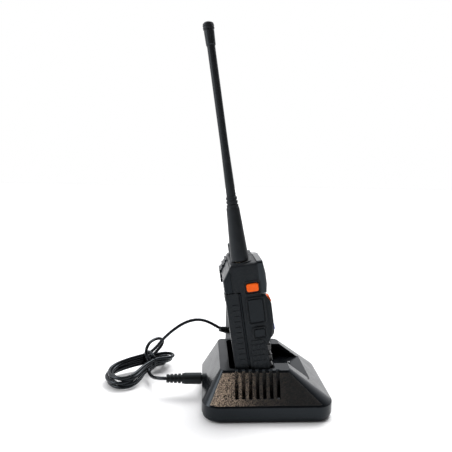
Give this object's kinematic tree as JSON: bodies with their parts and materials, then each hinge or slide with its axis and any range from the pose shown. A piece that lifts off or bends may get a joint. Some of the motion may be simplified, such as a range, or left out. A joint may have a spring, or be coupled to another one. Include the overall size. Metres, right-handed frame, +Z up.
{
  "type": "handheld two-way radio with charging cradle",
  "caption": "Handheld two-way radio with a long whip antenna, standing in its sloped desktop charging cradle, with the tied supply cord and wall adapter.",
  "frame": {"origin": "middle of the cradle's footprint, on the surface that it stands on", "axes": "+Z up; +X the radio's right as its user sees it; the keypad side faces -Y; the radio leans back by 8.8 degrees about X"},
  "size_m": [0.1447, 0.1965, 0.304],
  "materials": {
    "case_black": "moulded with a fine spark texture",
    "chassis_black": "satin black over a casting",
    "bezel_black": "satin moulded frame",
    "window_clear": "clear moulded window",
    "display": "unlit liquid crystal display",
    "circuit_board": "green solder mask",
    "speaker_metal": "pressed steel basket",
    "silicone_grey": "moulded silicone",
    "connector_brass": "machined, bright",
    "component_metal": "tinned component case",
    "lens_clear": "clear moulded lens",
    "screw_steel": "blackened steel",
    "button_orange": "satin orange",
    "button_blue": "satin blue",
    "button_black": "soft moulded rubber",
    "key_black": "satin keycap with a pale edge",
    "knob_black": "moulded with grip flutes",
    "antenna_rubber": "soft matt overmould",
    "cell_wrap": "shrink-wrapped cells",
    "contact_gold": "gold flash",
    "cover_rubber": "soft moulded flap",
    "cradle_black": "satin, with sparkling textured side panels",
    "foot_rubber": "soft foot",
    "plug_black": "moulded plug and strain relief",
    "adapter_black": "fine moulded texture",
    "blade_nickel": "nickel-plated blades",
    "cord_black": "smooth cord jacket"
  },
  "bodies": {
    "cradle": {"cradle_shell": "cradle_black", "cradle_floor": "cradle_black", "cradle_feet": "foot_rubber", "cradle_screws": "screw_steel", "cradle_board": "circuit_board", "cradle_led": "lens_clear", "charge_contacts": "contact_gold", "dc_jack": "plug_black", "dc_plug": "plug_black", "cord_plug_lead": "cord_black", "cord_hank": "cord_black", "cord_adapter_lead": "cord_black", "adapter_case": "adapter_black", "adapter_blades": "blade_nickel", "adapter_relief": "plug_black"},
    "radio": {"front_housing": "case_black", "rear_chassis": "chassis_black", "lcd_bezel": "bezel_black", "lcd_window": "window_clear", "lcd_module": "display", "main_board": "circuit_board", "speaker_driver": "speaker_metal", "key_mat": "silicone_grey", "side_key_seal": "silicone_grey", "antenna_connector": "connector_brass", "volume_pot": "component_metal", "top_lenses": "lens_clear", "accessory_jacks": "component_metal", "chassis_screws": "screw_steel", "battery_case": "case_black", "battery_cells": "cell_wrap", "battery_contacts": "contact_gold"},
    "antenna": {"antenna_whip": "antenna_rubber", "antenna_cap": "antenna_rubber"},
    "volume_knob": {"volume_knob": "knob_black"},
    "jack_cover": {"jack_cover": "cover_rubber"},
    "battery_latch": {"battery_latch": "button_black"},
    "ptt_button": {"ptt_button": "button_black"},
    "moni_button": {"moni_button": "button_black"},
    "call_button": {"call_button": "button_orange"},
    "key_1": {"key_1": "key_black"},
    "key_2": {"key_2": "key_black"},
    "key_3": {"key_3": "key_black"},
    "key_exit": {"key_exit": "key_black"},
    "key_4": {"key_4": "key_black"},
    "key_5": {"key_5": "key_black"},
    "key_6": {"key_6": "key_black"},
    "key_menu": {"key_menu": "key_black"},
    "key_7": {"key_7": "key_black"},
    "key_8": {"key_8": "key_black"},
    "key_9": {"key_9": "key_black"},
    "key_up": {"key_up": "key_black"},
    "key_star": {"key_star": "key_black"},
    "key_0": {"key_0": "key_black"},
    "key_hash": {"key_hash": "key_black"},
    "key_down": {"key_down": "key_black"},
    "mode_key": {"mode_key": "button_orange"},
    "ab_key": {"ab_key": "button_blue"},
    "band_key": {"band_key": "key_black"}
  },
  "joints": [
    {"name": "radio_lift", "type": "slide", "parent": "cradle", "child": "radio", "axis": [0, 0.153, 0.9882], "range_m": [0, 0.045]},
    {"name": "antenna_turn", "type": "hinge", "parent": "radio", "child": "antenna", "pos_m": [-0.019, 0.02309, 0.1225], "axis": [0, 0.153, 0.9882], "continuous": true},
    {"name": "volume_turn", "type": "hinge", "parent": "radio", "child": "volume_knob", "pos_m": [0.0185, 0.02309, 0.1225], "axis": [0, 0.153, 0.9882], "range_deg": [-300, 0]},
    {"name": "jack_cover_open", "type": "hinge", "parent": "radio", "child": "jack_cover", "pos_m": [0.0287, 0.02065, 0.08847], "axis": [0, 0.153, 0.9882], "range_deg": [0, 110]},
    {"name": "battery_latch_press", "type": "slide", "parent": "radio", "child": "battery_latch", "axis": [0, -0.9882, 0.153], "range_m": [0, 0.0012], "stiffness_N_per_m": 400},
    {"name": "ptt_press", "type": "slide", "parent": "radio", "child": "ptt_button", "axis": [1, 0, 0], "range_m": [0, 0.0011], "stiffness_N_per_m": 400},
    {"name": "moni_press", "type": "slide", "parent": "radio", "child": "moni_button", "axis": [1, 0, 0], "range_m": [0, 0.0008], "stiffness_N_per_m": 400},
    {"name": "call_press", "type": "slide", "parent": "radio", "child": "call_button", "axis": [1, 0, 0], "range_m": [0, 0.0008], "stiffness_N_per_m": 400},
    {"name": "key_1_press", "type": "slide", "parent": "radio", "child": "key_1", "axis": [0, 0.9882, -0.153], "range_m": [0, 0.0006], "stiffness_N_per_m": 350},
    {"name": "key_2_press", "type": "slide", "parent": "radio", "child": "key_2", "axis": [0, 0.9882, -0.153], "range_m": [0, 0.0006], "stiffness_N_per_m": 350},
    {"name": "key_3_press", "type": "slide", "parent": "radio", "child": "key_3", "axis": [0, 0.9882, -0.153], "range_m": [0, 0.0006], "stiffness_N_per_m": 350},
    {"name": "key_exit_press", "type": "slide", "parent": "radio", "child": "key_exit", "axis": [0, 0.9882, -0.153], "range_m": [0, 0.0006], "stiffness_N_per_m": 350},
    {"name": "key_4_press", "type": "slide", "parent": "radio", "child": "key_4", "axis": [0, 0.9882, -0.153], "range_m": [0, 0.0006], "stiffness_N_per_m": 350},
    {"name": "key_5_press", "type": "slide", "parent": "radio", "child": "key_5", "axis": [0, 0.9882, -0.153], "range_m": [0, 0.0006], "stiffness_N_per_m": 350},
    {"name": "key_6_press", "type": "slide", "parent": "radio", "child": "key_6", "axis": [0, 0.9882, -0.153], "range_m": [0, 0.0006], "stiffness_N_per_m": 350},
    {"name": "key_menu_press", "type": "slide", "parent": "radio", "child": "key_menu", "axis": [0, 0.9882, -0.153], "range_m": [0, 0.0006], "stiffness_N_per_m": 350},
    {"name": "key_7_press", "type": "slide", "parent": "radio", "child": "key_7", "axis": [0, 0.9882, -0.153], "range_m": [0, 0.0006], "stiffness_N_per_m": 350},
    {"name": "key_8_press", "type": "slide", "parent": "radio", "child": "key_8", "axis": [0, 0.9882, -0.153], "range_m": [0, 0.0006], "stiffness_N_per_m": 350},
    {"name": "key_9_press", "type": "slide", "parent": "radio", "child": "key_9", "axis": [0, 0.9882, -0.153], "range_m": [0, 0.0006], "stiffness_N_per_m": 350},
    {"name": "key_up_press", "type": "slide", "parent": "radio", "child": "key_up", "axis": [0, 0.9882, -0.153], "range_m": [0, 0.0006], "stiffness_N_per_m": 350},
    {"name": "key_star_press", "type": "slide", "parent": "radio", "child": "key_star", "axis": [0, 0.9882, -0.153], "range_m": [0, 0.0006], "stiffness_N_per_m": 350},
    {"name": "key_0_press", "type": "slide", "parent": "radio", "child": "key_0", "axis": [0, 0.9882, -0.153], "range_m": [0, 0.0006], "stiffness_N_per_m": 350},
    {"name": "key_hash_press", "type": "slide", "parent": "radio", "child": "key_hash", "axis": [0, 0.9882, -0.153], "range_m": [0, 0.0006], "stiffness_N_per_m": 350},
    {"name": "key_down_press", "type": "slide", "parent": "radio", "child": "key_down", "axis": [0, 0.9882, -0.153], "range_m": [0, 0.0006], "stiffness_N_per_m": 350},
    {"name": "mode_key_press", "type": "slide", "parent": "radio", "child": "mode_key", "axis": [0, 0.9882, -0.153], "range_m": [0, 0.0006], "stiffness_N_per_m": 350},
    {"name": "ab_key_press", "type": "slide", "parent": "radio", "child": "ab_key", "axis": [0, 0.9882, -0.153], "range_m": [0, 0.0006], "stiffness_N_per_m": 350},
    {"name": "band_key_press", "type": "slide", "parent": "radio", "child": "band_key", "axis": [0, 0.9882, -0.153], "range_m": [0, 0.0006], "stiffness_N_per_m": 350}
  ]
}
